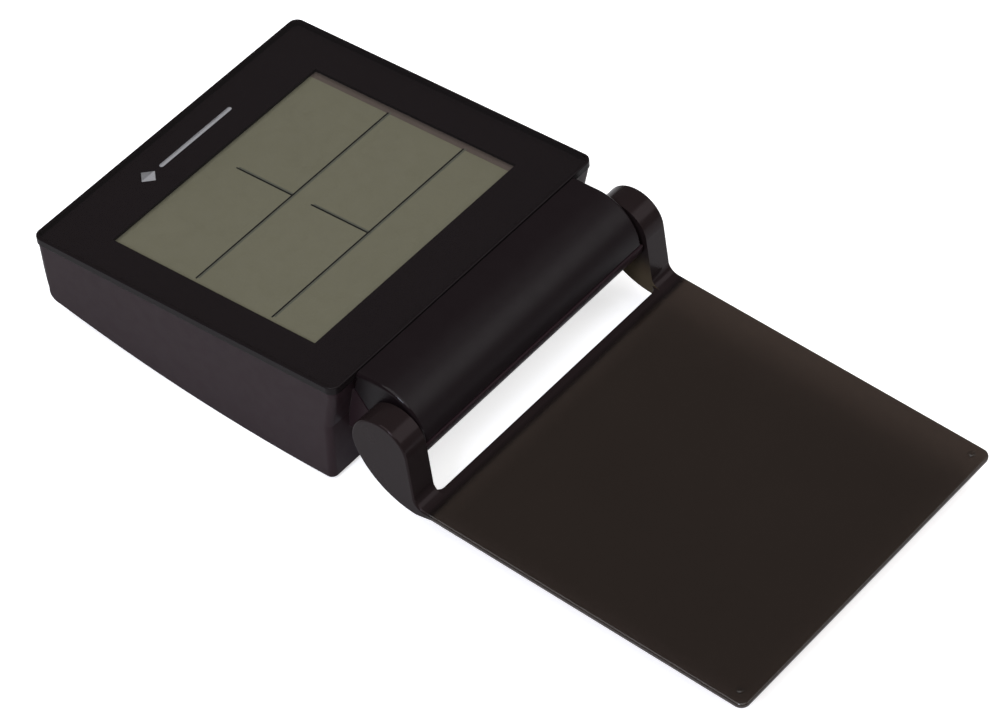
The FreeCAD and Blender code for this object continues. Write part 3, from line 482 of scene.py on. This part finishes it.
def back_height(node, x, along):
    """Height of a node's outer face on the clock's back at one place."""
    well_below = -1.0
    mesh = NODES[node].data
    tree = BVHTree.FromPolygons([v.co for v in mesh.vertices], [face.vertices for face in mesh.polygons])
    hit = tree.ray_cast(spot(x, along, well_below), OUTWARD)[0]
    return hit.dot(OUTWARD)


def regular(x, along, radius, corners, start=90.0):
    """Outline of a regular shape about a point, with its first corner at an angle in degrees."""
    turns = [math.radians(start + 360.0 * i / corners) for i in range(corners)]
    return [(x + radius * math.cos(turn), along + radius * math.sin(turn)) for turn in turns]


def button_signs(name, x, along):
    """The outlines of one rear button's sign: a triangle, three bars, or a dot over a bar."""
    triangle = 1.3 * MM
    bar_half, bar_thick, bar_pitch = 1.2 * MM, 0.18 * MM, 0.9 * MM
    dot, dot_rise = 1.0 * MM, 0.2 * MM
    base_half, base_low, base_high = 1.4 * MM, 1.25 * MM, 0.85 * MM
    if name == "down_button":
        return [regular(x, along, triangle, 3, -90.0)]
    if name == "up_button":
        return [regular(x, along, triangle, 3)]
    if name == "mode_button":
        rows = [along + i * bar_pitch for i in (-1, 0, 1)]
        return [rounded_bar(x - bar_half, x + bar_half, row - bar_thick, row + bar_thick) for row in rows]
    return [regular(x, along + dot_rise, dot, 24),
            rounded_bar(x - base_half, x + base_half, along - base_low, along - base_high)]


def back_signs():
    """Plain signs on the back: one on each rear button, and two arrows on the battery door."""
    ink = finish("sign_ink", ((0.42, 0.42, 0.42), (0.50, 0.50, 0.50)), (0.4, 0.55))
    sign_thickness = 0.03 * MM
    for name in ("mode_button", "down_button", "up_button", "alarm_button"):
        low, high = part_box(name)
        middle = (Vector(low) + Vector(high)) / 2
        face = -reach(name, -OUTWARD)
        signs = button_signs(name, middle.x, middle.dot(ALONG))
        for number, sign in enumerate(signs, start=1):
            printed("%s_sign_%d" % (name, number), sign, face, sign_thickness, ink, name)
    arrow_side, arrow_along, arrow_size = 17.0 * MM, 22.0 * MM, 2.2 * MM
    arrow_sunk, arrow_thickness = 0.02 * MM, 0.08 * MM
    for side, x in (("left", -arrow_side), ("right", arrow_side)):
        arrow = regular(x, arrow_along, arrow_size, 3, -90.0)
        top = back_height("battery_door", x, arrow_along) + arrow_sunk
        printed("battery_door_arrow_" + side, arrow, top, arrow_thickness, ink,
                "battery_door")


def front_mark():
    """A generic printed mark on the panel's wide border: a small diamond and a plain bar."""
    ink = finish("mark_ink", ((0.27, 0.27, 0.28), (0.31, 0.31, 0.32)), (0.35, 0.5))
    top = reach("lens_print", OUTWARD) + 0.03 * MM
    thickness = 0.02 * MM
    row = WINDOW_FAR + 7.3 * MM
    size = 2.2 * MM
    centre = -14.6 * MM
    diamond = [(centre + size, row), (centre, row + size), (centre - size, row), (centre, row - size)]
    printed("front_mark_diamond", diamond, top, thickness, ink)
    bar_start, bar_end, bar_half = centre + 1.8 * size, 13.6 * MM, 0.55 * MM
    bar = rounded_bar(bar_start, bar_end, row - bar_half, row + bar_half)
    printed("front_mark_bar", bar, top, thickness, ink)


# ---------------------------------------------------------------- stage, light and camera

def floor():
    """A wide pale floor under the clock.

    It glows for the camera alone, so it looks white without lighting the clock's black walls.
    """
    glow = 0.62
    made = finish("floor_white", ((0.83, 0.83, 0.83), (0.85, 0.85, 0.85)), (0.6, 0.7), mottle=400 * MM,
                  grain=2 * MM, depth=0.01 * MM, specular=0.1)
    shader = next(n for n in made.node_tree.nodes if n.type == "BSDF_PRINCIPLED")
    shader.inputs["Emission Color"].default_value = (1.0, 1.0, 1.0, 1.0)
    node, link = made.node_tree.nodes.new, made.node_tree.links.new
    seen = node("ShaderNodeLightPath").outputs["Is Camera Ray"]
    link(maths(node, link, "MULTIPLY", seen, glow), shader.inputs["Emission Strength"])
    mesh = bpy.data.meshes.new("floor")
    work = bmesh.new()
    bmesh.ops.create_circle(work, cap_ends=True, segments=64, radius=8.0)
    work.to_mesh(mesh)
    work.free()
    mesh.materials.append(made)
    piece = bpy.data.objects.new("floor", mesh)
    piece.location.z = cad_box[0].z
    bpy.context.scene.collection.objects.link(piece)


def direction(heading, elevation):
    """A level heading from +Y towards +X and an elevation, in degrees, as a unit vector."""
    turn, rise = math.radians(heading), math.radians(elevation)
    return Vector((math.sin(turn) * math.cos(rise), math.cos(turn) * math.cos(rise), math.sin(rise)))


def softbox(name, heading, elevation, distance, size, power, colour=(1.0, 1.0, 1.0)):
    """A square soft light that faces the clock."""
    lamp = bpy.data.lights.new(name, "AREA")
    lamp.shape = "SQUARE"
    lamp.size = size
    lamp.energy = power
    lamp.color = colour
    towards = direction(heading, elevation)
    light = bpy.data.objects.new(name, lamp)
    light.location = towards * distance
    light.rotation_euler = towards.to_track_quat("Z", "Y").to_euler()
    bpy.context.scene.collection.objects.link(light)


def overhead():
    """The even soft light from above."""
    lamp = bpy.data.lights.new("overhead", "SUN")
    lamp.energy = 2.4
    lamp.angle = math.radians(70)
    light = bpy.data.objects.new("overhead", lamp)
    light.rotation_euler = direction(250, 78).to_track_quat("Z", "Y").to_euler()
    bpy.context.scene.collection.objects.link(light)


def surroundings():
    """A dim room that the gloss mirrors, and a plain white ground behind the view."""
    world = bpy.data.worlds.new("studio")
    world.use_nodes = True
    tree = world.node_tree
    tree.nodes.clear()
    room = tree.nodes.new("ShaderNodeBackground")
    room.inputs["Color"].default_value = (1.0, 0.93, 0.94, 1.0)
    room.inputs["Strength"].default_value = 0.13
    ground = tree.nodes.new("ShaderNodeBackground")
    ground.inputs["Color"].default_value = (1.0, 1.0, 1.0, 1.0)
    ground.inputs["Strength"].default_value = 1.0
    rays = tree.nodes.new("ShaderNodeLightPath")
    both = tree.nodes.new("ShaderNodeMixShader")
    output = tree.nodes.new("ShaderNodeOutputWorld")
    tree.links.new(rays.outputs["Is Camera Ray"], both.inputs["Fac"])
    tree.links.new(room.outputs["Background"], both.inputs[1])
    tree.links.new(ground.outputs["Background"], both.inputs[2])
    tree.links.new(both.outputs["Shader"], output.inputs["Surface"])
    bpy.context.scene.world = world


def camera():
    """The view from above the clock's near left side."""
    heading, drop, roll = 52.238, 47.331, 0.880
    aim = Vector((3.36, 4.41, 4.94)) * MM
    distance = 1084.71 * MM
    forward = direction(heading, -drop)
    level = direction(heading + 90, 0)
    upright = level.cross(forward)
    tilt = math.radians(roll)
    right = level * math.cos(tilt) + upright * math.sin(tilt)
    upward = right.cross(forward)
    lens = bpy.data.cameras.new("camera")
    lens.sensor_width = 36.0
    lens.lens = 177.85
    lens.clip_start = 0.01
    eye = bpy.data.objects.new("camera", lens)
    turned = Matrix((right, upward, -forward)).transposed().to_4x4()
    eye.matrix_world = Matrix.Translation(aim - forward * distance) @ turned
    bpy.context.scene.collection.objects.link(eye)
    bpy.context.scene.camera = eye


# ---------------------------------------------------------------- the scene

camera()
surroundings()
overhead()
softbox("barrel_light", heading=138, elevation=42, distance=1.6, size=0.90, power=5.0)
softbox("rim_light", heading=258, elevation=44, distance=1.5, size=0.34, power=8.5, colour=(0.78, 0.82, 1.0))
floor()
dress_nodes()
display_lines()
painted_display_edge_reflection()
front_mark()
back_signs()
bpy.context.scene.view_settings.view_transform = "Standard"
